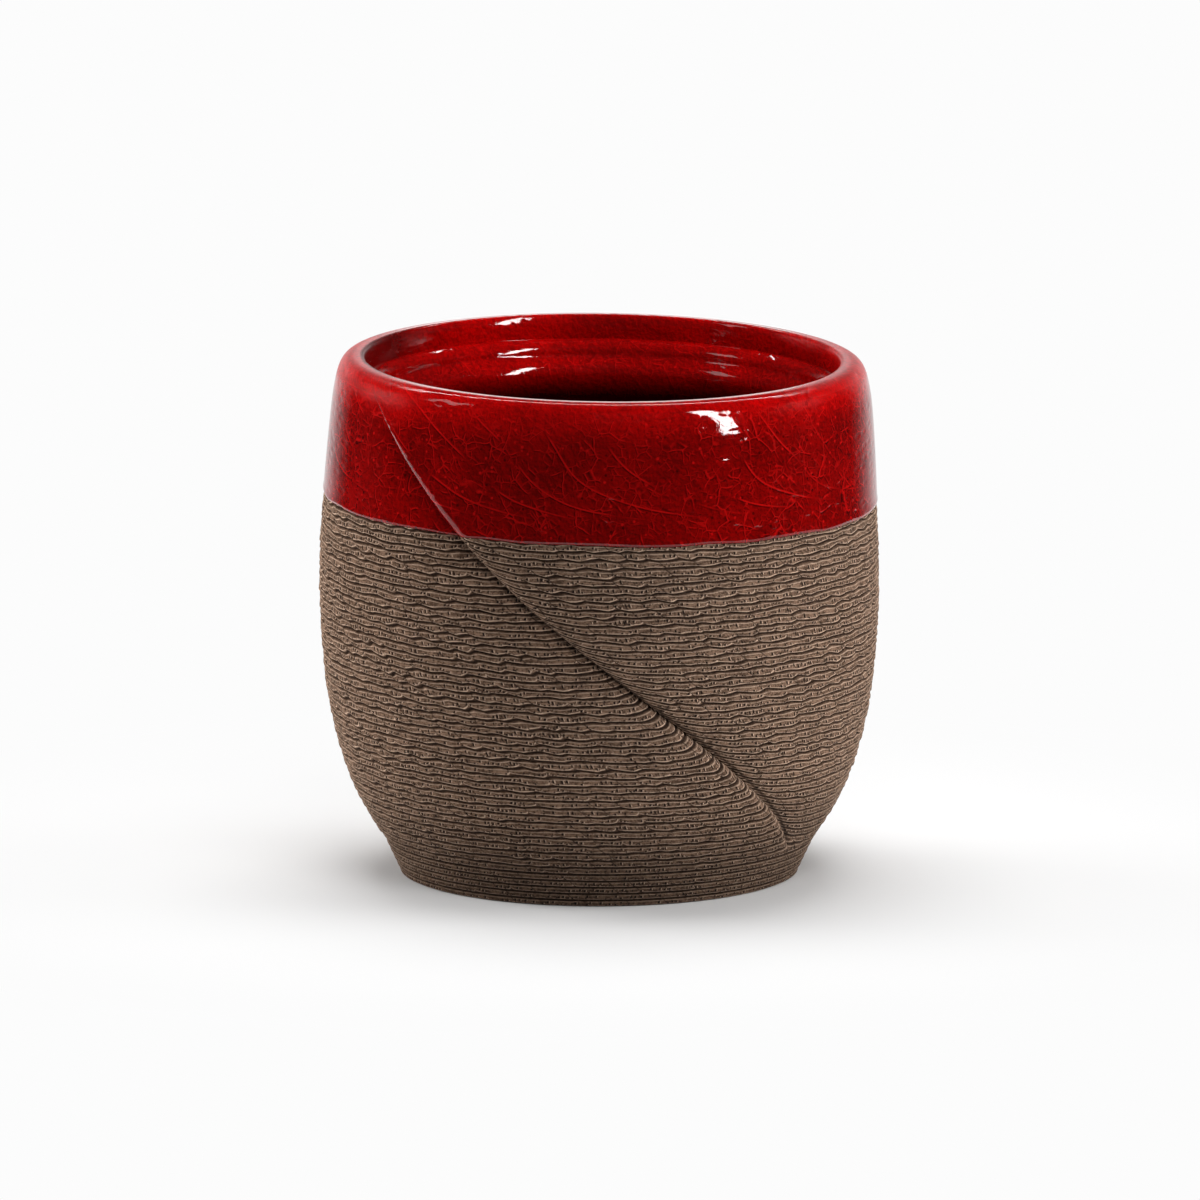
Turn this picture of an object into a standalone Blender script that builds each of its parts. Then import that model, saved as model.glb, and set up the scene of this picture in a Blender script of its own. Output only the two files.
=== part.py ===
"""Handleless double espresso cup: beaded clay body with a red crackle glaze.

Metres, +Z up, standing on z = 0 with the cup's axis on the Z axis.
The front of the cup faces -Y.  Nothing on the cup moves.
"""
import math

import bmesh
import bpy

# Overall shape
CUP_HEIGHT = 0.0631
BELLY_RADIUS = 0.0341
BELLY_HEIGHT = 0.0372
FOOT_RADIUS = 0.0241
FOOT_CHAMFER = 0.0004
BASE_THICKNESS = 0.0040
BASE_FLARE = 0.0015  # how much wider the base is on top than at the table
WALL_SPRING_STEP = 0.0005  # how far the wall overhangs the base
WALL_SPRING_SLOPE = 0.80  # outward run per unit of rise where the wall starts
WALL_SPRING_REACH = 0.24  # share of the lower wall's rise
BELLY_REACH_DOWN = 0.42  # share of the lower wall's rise
BELLY_REACH_UP = 0.21  # share of the upper wall's rise
SHOULDER_RADIUS = 0.0326
SHOULDER_DROP = 0.0043  # below the crest of the rim
SHOULDER_SLOPE = 0.157  # inward run per unit of rise
SHOULDER_REACH = 0.15  # share of the upper wall's rise
LIP_THICKNESS = 0.0035
LIP_OUTER_REACH = 0.0042  # how far the lip keeps the slope of the shoulder
LIP_CREST_REACH = 0.0016  # how far the lip stays level outside the crest
LIP_FLARE = 0.0005  # how far the crest stands outside the inner edge
RIM_TILT = math.radians(0.75)  # the rim dips a little towards +X
RIM_LEAN = 0.0004  # the rim stands a little towards +X

# Wall, coats and the space between neighbours
WALL_THICKNESS = 0.0027
COAT_THICKNESS = 0.00045
LINING_THICKNESS = 0.0012
LINING_CORNER = 0.0045
SEAM_GAP = 0.0003
COAT_SETBACK = 0.0002  # the coat lies below the beads at its lower edge
GLAZE_BAND_HEIGHT = 0.0171  # lower edge of the coat below the crest
LEDGE_DROP = 0.0029  # top of the lining below the crest
COLLAR_DROP = 0.0071  # narrowest place of the inside below the crest
COLLAR_LENGTH = 0.0100  # from the narrowest place down to the plain wall
COLLAR_BULGE = 0.0010
COLLAR_TURN = 0.0011  # how far the ledge stays level
COLLAR_REACH = 0.0024  # how far the collar stays upright

# Crease that runs once diagonally down the cup
CREASE_FRONT_HEIGHT = 0.03115  # where it crosses the front
CREASE_TURN = math.radians(-2.16) / 0.001
CREASE_BEND = math.radians(0.0064) / 0.001**2
CREASE_NOTCH = 0.0013
CREASE_PROUD = 0.0005
CREASE_EDGE_ROUND = 0.0022
CREASE_PROUD_REACH = 0.0100
CREASE_SUNK_REACH = 0.0036
CREASE_SWAP_HEIGHT = 0.0258  # where the proud side changes
CREASE_SWAP_LENGTH = 0.0050
CREASE_FOOT_FADE = 0.0025
CREASE_LIP_DROP = 0.0011  # where the crease ends below the crest
CREASE_LIP_FADE = 0.0070
CREASE_INSIDE_SHARE = 0.6
CREASE_LINING_SHARE = 0.3

# Mesh density and shading
SMOOTH_LIMIT = math.radians(40.0)
COLUMNS = 72
COLUMN_EVENNESS = 0.2
CLAY_ROWS = 12
BAND_ROWS = 4
LIP_ROWS = 7
INNER_LIP_ROWS = 3
INSIDE_ROWS = 7
COLLAR_ROWS = 5
CORNER_ROWS = 4
HALVINGS = 40  # steps to find a radius

# Colours, roughness
CLAY_COLOUR = (0.150, 0.098, 0.066, 1.0)
BASE_COLOUR = (0.120, 0.080, 0.056, 1.0)
GLAZE_COLOUR = (0.235, 0.004, 0.006, 1.0)
LINING_COLOUR = (0.190, 0.003, 0.005, 1.0)
CLAY_ROUGHNESS = 0.85
GLAZE_ROUGHNESS = 0.12

# Levels and radii that follow from the sizes above
COAT_DEPTH = COAT_THICKNESS + SEAM_GAP
SHOULDER_HEIGHT = CUP_HEIGHT - SHOULDER_DROP
GLAZE_LINE = CUP_HEIGHT - GLAZE_BAND_HEIGHT
LEDGE_HEIGHT = CUP_HEIGHT - LEDGE_DROP
INSIDE_TOP = LEDGE_HEIGHT + SEAM_GAP
LIP_BOTTOM = INSIDE_TOP + SEAM_GAP
COAT_TAIL = LIP_BOTTOM + SEAM_GAP
BASE_TOP_RADIUS = FOOT_RADIUS + BASE_FLARE
WALL_BOTTOM = BASE_THICKNESS + SEAM_GAP
WALL_BOTTOM_RADIUS = BASE_TOP_RADIUS + WALL_SPRING_STEP
LINING_FLOOR = WALL_BOTTOM + LINING_THICKNESS
LINING_BACK = WALL_THICKNESS + SEAM_GAP
LINING_FACE = LINING_BACK + LINING_THICKNESS
COLLAR_HEIGHT = CUP_HEIGHT - COLLAR_DROP
COLLAR_END = COLLAR_HEIGHT - COLLAR_LENGTH
INNER_LIP_RADIUS = SHOULDER_RADIUS - LIP_THICKNESS
CREASE_LIP_END = CUP_HEIGHT - CREASE_LIP_DROP


def smooth_rise(value, start, end):
    """Runs from 0 at start to 1 at end with level ends."""
    share = min(1.0, max(0.0, (value - start) / (end - start)))
    return share * share * (3.0 - 2.0 * share)


def bezier(p0, p1, p2, p3, share):
    """Point on a cubic curve with four (radius, height) handles."""
    rest = 1.0 - share
    weights = (rest**3, 3.0 * rest * rest * share, 3.0 * rest * share * share, share**3)
    handles = (p0, p1, p2, p3)
    radius = sum(w * p[0] for w, p in zip(weights, handles))
    height = sum(w * p[1] for w, p in zip(weights, handles))
    return radius, height


def lower_wall(share):
    """Outer wall from the base up to the belly."""
    rise = BELLY_HEIGHT - WALL_BOTTOM
    spring = WALL_SPRING_REACH * rise
    start = (WALL_BOTTOM_RADIUS, WALL_BOTTOM)
    start_handle = (WALL_BOTTOM_RADIUS + WALL_SPRING_SLOPE * spring, WALL_BOTTOM + spring)
    end_handle = (BELLY_RADIUS, BELLY_HEIGHT - BELLY_REACH_DOWN * rise)
    return bezier(start, start_handle, end_handle, (BELLY_RADIUS, BELLY_HEIGHT), share)


def upper_wall(share):
    """Outer wall from the belly up to the shoulder of the rim."""
    rise = SHOULDER_HEIGHT - BELLY_HEIGHT
    reach = SHOULDER_REACH * rise
    start_handle = (BELLY_RADIUS, BELLY_HEIGHT + BELLY_REACH_UP * rise)
    end_handle = (SHOULDER_RADIUS + SHOULDER_SLOPE * reach, SHOULDER_HEIGHT - reach)
    end = (SHOULDER_RADIUS, SHOULDER_HEIGHT)
    return bezier((BELLY_RADIUS, BELLY_HEIGHT), start_handle, end_handle, end, share)


def outer_radius(height):
    """Radius of the plain outer wall at a height, found by halving."""
    if height <= WALL_BOTTOM:
        return WALL_BOTTOM_RADIUS
    if height >= SHOULDER_HEIGHT:
        return SHOULDER_RADIUS
    curve = lower_wall if height < BELLY_HEIGHT else upper_wall
    low, high = 0.0, 1.0
    for _ in range(HALVINGS):
        middle = 0.5 * (low + high)
        if curve(middle)[1] < height:
            low = middle
        else:
            high = middle
    return curve(0.5 * (low + high))[0]


def spread(start, end, count):
    """Evenly spaced values from start to end, both included."""
    return [start + (end - start) * step / count for step in range(count + 1)]


def column_offset(column):
    """Angle of a mesh column from the crease; columns crowd together beside it."""
    share = 2.0 * column / COLUMNS - 1.0
    bow = COLUMN_EVENNESS * share + (1.0 - COLUMN_EVENNESS) * share * abs(share)
    return math.pi * bow


COLUMN_OFFSETS = [column_offset(column) for column in range(COLUMNS)]


def crease_angle(height):
    """Direction of the crease seen from above, 0 at the front, positive towards +X."""
    rise = height - CREASE_FRONT_HEIGHT
    return CREASE_TURN * rise + CREASE_BEND * rise * rise


def crease_lobe(arc):
    """Section of the crease with its proud side at positive arc distances."""
    if arc <= 0.0:
        return -CREASE_NOTCH * math.exp(arc / CREASE_SUNK_REACH)
    rest = 1.0 - min(1.0, arc / CREASE_EDGE_ROUND)
    proud = (CREASE_NOTCH + CREASE_PROUD) * math.sqrt(1.0 - rest * rest) - CREASE_NOTCH
    beyond = max(0.0, arc - CREASE_EDGE_ROUND)
    return proud * math.exp(-beyond / CREASE_PROUD_REACH)


def crease_offset(arc, height):
    """How far the wall stands out or in at an arc distance from the crease."""
    foot = smooth_rise(height, WALL_BOTTOM, WALL_BOTTOM + CREASE_FOOT_FADE)
    lip = 1.0 - smooth_rise(height, CREASE_LIP_END - CREASE_LIP_FADE, CREASE_LIP_END)
    right = 0.5 + 0.5 * math.tanh((height - CREASE_SWAP_HEIGHT) / CREASE_SWAP_LENGTH)
    return foot * lip * (right * crease_lobe(arc) + (1.0 - right) * crease_lobe(-arc))


def cup_point(radius, height, offset, crease_share):
    """Point of the cup at a column offset, with the crease and the rim's tilt and lean."""
    angle = crease_angle(height) + offset
    radius += crease_share * crease_offset(radius * offset, height)
    x = radius * math.sin(angle)
    y = -radius * math.cos(angle)
    z = height - math.tan(RIM_TILT) * x * height / CUP_HEIGHT
    return x + RIM_LEAN * smooth_rise(height, BELLY_HEIGHT, CUP_HEIGHT), y, z


def lip_path(depth, bottom):
    """Lip from the shoulder over the crest and down inside to a height, sunk by a depth."""
    start = SHOULDER_RADIUS - depth
    inner = INNER_LIP_RADIUS + depth
    crest = inner + LIP_FLARE
    top = CUP_HEIGHT - depth
    narrowing = (start - crest) / (SHOULDER_RADIUS - INNER_LIP_RADIUS - LIP_FLARE)
    rise = narrowing * LIP_OUTER_REACH
    slope_end = (start - SHOULDER_SLOPE * rise, SHOULDER_HEIGHT + rise)
    level_start = (crest + narrowing * LIP_CREST_REACH, top)
    outside = ((start, SHOULDER_HEIGHT), slope_end, level_start, (crest, top))
    level_end = (inner + 0.4 * LIP_FLARE, top)
    turned = (inner, 0.5 * (top + bottom))
    inside = ((crest, top), level_end, turned, (inner, bottom))
    path = [bezier(*outside, share) for share in spread(0.0, 1.0, LIP_ROWS)]
    return path + [bezier(*inside, share) for share in spread(0.0, 1.0, INNER_LIP_ROWS)[1:]]


def band_path(start, depth):
    """Points at a depth in the coat from a height up to below the shoulder."""
    path = []
    for height in spread(start, SHOULDER_HEIGHT, BAND_ROWS)[:-1]:
        setback = COAT_SETBACK * (SHOULDER_HEIGHT - height) / (SHOULDER_HEIGHT - GLAZE_LINE)
        path.append((outer_radius(height) - setback - depth, height))
    return path


def collar_bulge(height):
    """How far the inside bulges towards the axis below the rim."""
    rise = smooth_rise(height, COLLAR_END, COLLAR_HEIGHT)
    return COLLAR_BULGE * rise * (1.0 - smooth_rise(height, COLLAR_HEIGHT, LEDGE_HEIGHT))


def inside_path(heights, depth):
    """Points behind the plain outer wall at a depth, with the collar."""
    return [(outer_radius(height) - depth - collar_bulge(height), height) for height in heights]


def with_share(path, crease_share):
    """Adds how strongly each point of a path follows the crease."""
    return [(radius, height, crease_share) for radius, height in path]


def base_section():
    """Base disc from the axis under the foot, up its edge and back to the axis."""
    path = [
        (0.0, 0.0),
        (FOOT_RADIUS - FOOT_CHAMFER, 0.0),
        (FOOT_RADIUS, FOOT_CHAMFER),
        (BASE_TOP_RADIUS, BASE_THICKNESS),
        (0.0, BASE_THICKNESS),
    ]
    return with_share(path, 0.0)


def inside_levels():
    """Heights of the rows behind the wall, from the base up to the ledge."""
    low = spread(WALL_BOTTOM, COLLAR_END, INSIDE_ROWS)
    return low + spread(COLLAR_END, LEDGE_HEIGHT, COLLAR_ROWS)[1:]


def wall_section():
    """Clay wall: outside up to the glaze line, set back under the coat, lip, inside."""
    seat = GLAZE_LINE - SEAM_GAP
    outside = [(outer_radius(height), height) for height in spread(WALL_BOTTOM, seat, CLAY_ROWS)]
    outside += band_path(seat, COAT_DEPTH) + lip_path(COAT_DEPTH, LIP_BOTTOM)
    inside = inside_path([INSIDE_TOP] + inside_levels()[::-1], WALL_THICKNESS)
    return with_share(outside, 1.0) + with_share(inside, CREASE_INSIDE_SHARE)


def band_section():
    """Outer coat: band, lip and the short turn down inside the rim."""
    outer = band_path(GLAZE_LINE, 0.0) + lip_path(0.0, COAT_TAIL)
    inner = band_path(GLAZE_LINE, COAT_THICKNESS) + lip_path(COAT_THICKNESS, COAT_TAIL)
    return with_share(outer + inner[::-1], 1.0)


def lining_section():
    """Inner coat: under the floor, up behind the wall, over the ledge, down to the floor."""
    back = [(0.0, WALL_BOTTOM)] + inside_path(inside_levels(), LINING_BACK)
    collar = inside_path([COLLAR_HEIGHT], LINING_FACE)[0]
    ledge = (
        (INNER_LIP_RADIUS, LEDGE_HEIGHT),
        (INNER_LIP_RADIUS - COLLAR_TURN, LEDGE_HEIGHT),
        (collar[0], COLLAR_HEIGHT + COLLAR_REACH),
        collar,
    )
    face = [bezier(*ledge, share) for share in spread(0.0, 1.0, COLLAR_ROWS)[:-1]]
    corner_top = LINING_FLOOR + LINING_CORNER
    heights = spread(COLLAR_HEIGHT, COLLAR_END, COLLAR_ROWS)
    heights += spread(COLLAR_END, corner_top, INSIDE_ROWS)[1:]
    face += inside_path(heights, LINING_FACE)
    corner_radius = face[-1][0]
    for turn in spread(0.0, 0.5 * math.pi, CORNER_ROWS)[1:]:
        radius = corner_radius - LINING_CORNER * (1.0 - math.cos(turn))
        face.append((radius, corner_top - LINING_CORNER * math.sin(turn)))
    face.append((0.0, LINING_FLOOR))
    return with_share(back, CREASE_INSIDE_SHARE) + with_share(face, CREASE_LINING_SHARE)


def make_material(name, colour, roughness):
    """Principled material with one colour."""
    material = bpy.data.materials.new(name)
    material.use_nodes = True
    shader = material.node_tree.nodes["Principled BSDF"]
    shader.inputs["Base Color"].default_value = colour
    shader.inputs["Roughness"].default_value = roughness
    shader.inputs["Metallic"].default_value = 0.0
    return material


def loft(name, section, material, parent):
    """Turns a closed section round the axis into one closed body."""
    mesh = bmesh.new()
    rings = []
    for radius, height, crease_share in section:
        if radius == 0.0:
            rings.append([mesh.verts.new((0.0, 0.0, height))])
            continue
        ring = [cup_point(radius, height, offset, crease_share) for offset in COLUMN_OFFSETS]
        rings.append([mesh.verts.new(point) for point in ring])
    pairs = list(zip(rings, rings[1:]))
    if len(rings[0]) > 1:
        pairs.append((rings[-1], rings[0]))
    for lower, upper in pairs:
        for column in range(COLUMNS):
            following = (column + 1) % COLUMNS
            if len(lower) == 1:
                mesh.faces.new((lower[0], upper[following], upper[column]))
            elif len(upper) == 1:
                mesh.faces.new((lower[column], lower[following], upper[0]))
            else:
                mesh.faces.new((lower[column], lower[following], upper[column]))
                mesh.faces.new((lower[following], upper[following], upper[column]))
    bmesh.ops.recalc_face_normals(mesh, faces=mesh.faces)
    data = bpy.data.meshes.new(name)
    mesh.to_mesh(data)
    mesh.free()
    data.shade_smooth()
    data.set_sharp_from_angle(angle=SMOOTH_LIMIT)
    data.materials.append(material)
    body = bpy.data.objects.new(name, data)
    body.parent = parent
    bpy.context.scene.collection.objects.link(body)


def build_cup():
    """Builds the four pieces of the cup."""
    for old in list(bpy.data.objects):
        bpy.data.objects.remove(old, do_unlink=True)
    clay = make_material("clay", CLAY_COLOUR, CLAY_ROUGHNESS)
    base = make_material("base_clay", BASE_COLOUR, CLAY_ROUGHNESS)
    glaze = make_material("glaze", GLAZE_COLOUR, GLAZE_ROUGHNESS)
    lining = make_material("lining_glaze", LINING_COLOUR, GLAZE_ROUGHNESS)
    cup = bpy.data.objects.new("cup", None)
    bpy.context.scene.collection.objects.link(cup)
    loft("base_disc", base_section(), base, cup)
    loft("bead_wall", wall_section(), clay, cup)
    loft("glaze_band", band_section(), glaze, cup)
    loft("glaze_lining", lining_section(), lining, cup)


build_cup()
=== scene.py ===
"""Looks of the handleless double espresso cup: beaded clay with a red crackle glaze.

Shape functions work in millimetres on arrays of rows by columns; meshes are stored in metres.
Angles are 0 at the front (-Y) and grow towards +X. A pair of numbers named for a reach, a width,
a size or a chance is where an effect starts and where it ends. One named for a noise holds its repeats
per metre, its detail and its roughness if that is not one half.
"""
import math

import bpy
import numpy as np
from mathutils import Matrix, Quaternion, Vector


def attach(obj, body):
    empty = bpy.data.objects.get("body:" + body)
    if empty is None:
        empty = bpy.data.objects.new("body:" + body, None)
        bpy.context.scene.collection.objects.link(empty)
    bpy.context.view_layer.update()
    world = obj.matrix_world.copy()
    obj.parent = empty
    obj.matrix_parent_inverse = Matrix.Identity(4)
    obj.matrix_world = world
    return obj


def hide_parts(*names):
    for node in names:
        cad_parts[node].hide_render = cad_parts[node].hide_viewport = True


MM = 0.001
SEED = 41

# Outer wall of the cup
CUP_HEIGHT = 63.09
BELLY_RADIUS = 34.1
BELLY_HEIGHT = 37.2
FOOT_RADIUS = 24.1
FOOT_CHAMFER = 0.4
WALL_BOTTOM = 4.3
WALL_BOTTOM_RADIUS = 26.1
WALL_SPRING_SLOPE = 0.80  # outward run per unit of rise where the wall starts
WALL_SPRING_REACH = 0.24  # share of the lower wall's rise
BELLY_REACH_DOWN = 0.42  # share of the lower wall's rise
BELLY_REACH_UP = 0.21  # share of the upper wall's rise
SHOULDER_RADIUS = 32.6
SHOULDER_DROP = 4.3  # below the crest of the rim
SHOULDER_SLOPE = 0.157  # inward run per unit of rise
SHOULDER_REACH = 0.15  # share of the upper wall's rise
LIP_THICKNESS = 4.0
LIP_OUTER_REACH = 4.2  # how far the lip keeps the slope of the shoulder
LIP_CREST_REACH = 2.2  # how far the lip stays level outside the crest
LIP_FLARE = 0.5  # how far the crest stands outside the inner edge
LIP_INNER_ROUND = 0.2  # share of the flare where the lip stops being level inside the crest
LIP_INNER_REACH = 1.1  # how far the inner edge stays upright
RIM_TILT = math.radians(0.75)  # the rim dips a little towards +X
RIM_LEAN = 0.4  # the rim stands a little towards +X
PROFILE_SAMPLES = 300

# Wall thickness, glaze line and the ledge inside the rim
WALL_THICKNESS = 2.7
LINING_THICKNESS = 1.2
SEAM_GAP = 0.3
LINING_FLOOR = 5.5
LINING_CORNER = 4.5
LINING_RINGS = (0.6, 0.3)  # mesh rings on the floor of the bowl, as shares of its radius
LINING_EDGE = ((0.3, -1.0), (0.2, 0.0))  # its hidden top edge, out from the lip and up from the ledge
LINING_BACK = (0.1, -1.2)  # its back, up from the base and from the ledge
LEDGE_HEIGHT = 60.2
COLLAR_HEIGHT = 56.0  # narrowest place of the inside
COLLAR_END = 46.0
COLLAR_BULGE = 2.6
COLLAR_START = 0.63  # how far the collar goes on upright below the step
COLLAR_REACH = 1.4  # how far the collar stays upright above its narrowest place
STEP_HEIGHT = 58.6  # lower end of a small step between the ledge and the collar
STEP_INSET = 1.4
STEP_TURN = 0.8  # how far the ledge stays level
STEP_REACH = 0.7  # how far the step stays upright
GLAZE_LINE = 46.0
GLAZE_LINE_TILT = math.radians(0.7)  # on top of the rim's tilt
GLAZE_LINE_WAVE = 0.12
GLAZE_DEPTH = 0.10  # surface of the glaze below the crests of the beads
GLAZE_THICKNESS = 0.45
GLAZE_THINNING = 0.09  # height in which the glaze grows to most of its thickness
GLAZE_ROLL = 0.05  # rounded lower edge of the glaze
GLAZE_ROLL_HEIGHT = 0.5
GLAZE_ROLL_WIDTH = 0.4
GLAZE_TAIL = 0.3  # how far the red coat reaches down behind the ledge
GLAZE_BACK_RISE = 0.1  # how far its back starts above its lower edge
CLAY_TUCK = (-0.05, 0.35)  # heights from the lower edge of the glaze where the clay sinks under it

# Crease that runs once diagonally down the cup
CREASE_FRONT_HEIGHT = 31.15  # where it crosses the front
CREASE_TURN = math.radians(-2.16)
CREASE_BEND = math.radians(0.0064)
CREASE_SWAP_HEIGHT = 25.8  # where the proud side changes
CREASE_SWAP_LENGTH = 5.0
CREASE_NOTCH = 1.3
CREASE_PROUD = 0.5
CREASE_EDGE_ROUND = 2.2
CREASE_PROUD_REACH = 10.0
CREASE_SUNK_REACH = 3.6
CREASE_FOOT_FADE = 2.5
CREASE_LIP_START = 56.5
CREASE_LIP_END = 62.0
CREASE_LIFT = 1.5  # how far course lines climb towards it
CREASE_LIFT_REACH = 2.0
CREASE_SUNK_LIFT = 0.25  # the same where the left side dives under
CREASE_SMEAR = 0.85  # how much the courses are wiped flat on its right
CREASE_SMEAR_REACH = 2.2
CREASE_FINGERS = 0.95  # how much deeper the joints are at its left edge
CREASE_FINGER_REACH = 2.4
CREASE_CALM = 0.85  # how much the waves of the courses die out beside it
CREASE_CALM_REACH = 3.5
CREASE_SHADOW = 0.7  # how far right of the fold its painted shade line lies where the left side is proud
CREASE_LINE = (0.08, 0.40)  # half width of that line
CREASE_LINE_SHADE = 0.8
CREASE_GLAZE_SHARE = 0.75
CREASE_LINING_SHARE = 0.3

# Courses of beads
COURSE_PITCH = 1.0
COURSE_COUNT = 43
COURSE_STEPS = (0.0, 0.11, 0.20, 0.45, 0.70, 0.90)  # mesh rows in one course
GROOVE_DEPTH = 0.38
GROOVE_WIDTH = 0.13  # share of a course
COURSE_FALL = 0.20  # how far a face falls back from its lower edge
COURSE_WAVE = 0.06  # height of the waves; each joint adds up those of three neighbours
COURSE_WAVE_KNOTS = 46
LOW_WAVE = 0.5  # share of the waves that is left near the foot
LOW_WAVE_REACH = (7.0, 22.0)
COURSE_WOBBLE = 0.12
COURSE_WOBBLE_KNOTS = 70
BEAD_SHORT = 2.3
BEAD_LONG = 5.2
BEAD_FULLNESS = (0.2, 1.0)  # least and most that a bead takes of the full lens shape
BEAD_SWELL = 0.29  # how much thicker a bead is in its middle
BEAD_BULGE = 0.07
BASE_COURSES = 5
BASE_WAVE = 0.25  # share of the waves that the base keeps
BASE_TOP_INSET = 2.0  # inner mesh row on the level top of the base, in from the foot of the wall

# Mesh density
COLUMNS = 800
COLUMN_EVENNESS = 0.4
BAND_ROWS = 70
BAND_CROWDING = 1.3  # power by which the rows crowd together at the lower edge of the band
LIP_ROWS = 16
INNER_LIP_ROWS = 8
LEDGE_ROWS = 14
INSIDE_ROWS = 60
CORNER_ROWS = 10
HIDDEN_ROWS = 12
HIDDEN_START = 0.5  # how far the hidden rows of the wall start above its last course

# Clay colours
DARK_CLAY = (0.070, 0.040, 0.025, 1.0)
LIGHT_CLAY = (0.256, 0.158, 0.106, 1.0)
# painted highlight on the bead edges and burrs
CLAY_HIGHLIGHT = (0.70, 0.490, 0.358, 1.0)
# painted shade in joints, gaps between beads, pits, pores and the fold of the crease
RECESS_SHADE = (0.012, 0.0056, 0.0032, 1.0)
TONE_NOISE = (700.0, 6.0, 0.7)
GRAIN_NOISE = (3600.0, 2.0, 0.7)
STREAKS_PER_MM = 0.9
STREAKS_PER_COURSE = 6.0
STREAK_NOISE = (1.0, 2.0, 0.6)  # in streaks
TONE_SHARE = 0.35
GRAIN_SHARE = 0.35
STREAK_SHARE = 0.30
CLAY_CONTRAST = (0.43, 0.57)
FACE_PAINTED_SHADE = 0.45  # painted shade: how much darker a face gets towards its top, below the bead above
FACE_PAINTED_SHADE_REACH = (0.25, 0.95)  # shares of a course
FOOT_PAINTED_SHADE = 0.56  # painted shade: share of its colour that the clay keeps at the table
FOOT_PAINTED_SHADE_HEIGHT = 17.0
CLAY_ROUGHNESS = 0.85
CLAY_SHEEN = 0.15

# Painted shade in the joints and painted highlights on the edges of the beads; heights are shares of a
# course
JOINT_WIDTH = (0.05, 0.14)  # painted shade above a joint
JOINT_LEAN = 0.64  # below the joint that zone is wider by the inverse of this
JOINT_FINGER = 0.04  # how much wider the painted shade of the joints is at the left edge of the crease
JOINT_SHADE = 0.84
END_WIDTH = (0.05, 0.15)  # half the gap between the ends of two beads, painted dark as shade, in millimetres
END_SHADE = 0.85
END_NOISE = (240.0, 1.0)
END_CHANCE = (0.46, 0.56)
BEAD_FACE = (0.14, 0.24)  # where the face of a bead starts beside a joint
BEAD_EDGE = 0.19  # height of the painted highlight on the lower edge
BEAD_CROWN = 0.70  # height of the fainter painted highlight on the upper edge
CROWN_SHARE = 0.6
EDGE_WIDTH = (0.02, 0.09)
EDGE_NOISE = (900.0, 2.0)
EDGE_CHANCE = (0.32, 0.50)
EDGE_FAINT = 0.4  # strength of the edges where they almost break off
EDGE_SHARE = 0.9
CURL_REACH = 0.30  # how far the edge highlight curls up at the ends of a bead
CURL_RISE = 0.34
CURL_NOISE = (330.0, 1.0)
CURL_CHANCE = (0.50, 0.60)

# Pits and pores, painted dark as shade in the holes, and a pale burr beside each pit painted as a highlight
PITS_PER_MM = 1.7
PIT_SCATTER = 0.7
PIT_CHANCE = (0.25, 0.37)
PIT_SIZES = (0.35, 1.0)  # random numbers that give the least and the greatest height
PIT_HEIGHT = (0.14, 0.31)  # half, as shares of a course
PIT_CORE = 0.4  # share of its height where a pit is darkest
PIT_WIDTH = (0.11, 0.27)  # half, as shares of the space between pits
PIT_SHADE = 0.95
BURR_ASIDE = 0.36  # distance from its pit, as a share of the same space
BURR_WIDTH = (0.04, 0.16)
BURR_SHARE = 0.9
PORES_PER_MM = 2.7
PORES_PER_COURSE = 2.6
PORE_SIZE = (0.12, 0.34)
PORE_CHANCE = (0.45, 0.60)
PORE_SHADE = 0.7
TONE_RELIEF = 0.22
GRAIN_RELIEF = 0.16
EDGE_RELIEF = 0.13
HOLLOW_RELIEF = 0.22

# Glaze colours
GLAZE_DEEP = (0.105, 0.0003, 0.0003, 1.0)
GLAZE_BRIGHT = (0.230, 0.0005, 0.0005, 1.0)
# dark specks, and the painted shade below the crazing and the long cracks
GLAZE_SHADE = (0.040, 0.0001, 0.0001, 1.0)
GLAZE_LINE_RED = (0.550, 0.004, 0.004, 1.0)
PATCH_NOISE = (160.0, 3.0, 0.6)
PATCH_REACH = (0.3, 0.7)
PATCH_SHARE = 0.45
# painted light and shade of a fine relief in the red
EMBOSS_NOISE = (1700.0, 2.0, 0.6)
EMBOSS_SHARE = 2.8
BLEND_START = 0.2
GLAZE_ROUGHNESS = 0.05
GLAZE_IOR = 1.5
SOFT_ROUGHNESS = 0.30  # of the rim at both sides
SOFT_SIDES = (18.0, 27.0)  # distances to both sides of the axis
SOFT_RIM = (60.0, 62.0)  # heights

# Fine crazing with cells of two sizes, the coarse ones first; its painted shade lies below it, as if the
# lines stood proud
CRAZE_CELLS = (360.0, 800.0)
CRAZE_WIDTHS = (0.038, 0.080)
CRAZE_SHADE_WIDTHS = (0.055, 0.115)
CRAZE_NOISES = ((420.0, 2.0), (600.0, 2.0))
CRAZE_STRENGTHS = (1.0, 0.65)
CRAZE_CHANCE = (0.44, 0.58)
CRAZE_SHADE = (0.14, 0.0, 0.14)
CRAZE_WANDER = 0.9  # how far the lines wander off
CRAZE_WANDER_NOISE = (420.0, 3.0)
CRAZE_LINE_SHARE = 0.60
CRAZE_SHADE_SHARE = 0.85
CRAZE_RELIEF = 0.004
RIM_CRAZE = 0.25  # strength of the crazing on the rim
INSIDE_CRAZE = 0.4  # the same inside
SPECK_CELLS = 1400.0
SPECK_SIZE = (0.16, 0.34)
BRIGHT_SPECKS = (0.80, 0.90)
DARK_SPECKS = (0.16, 0.26)

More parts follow.
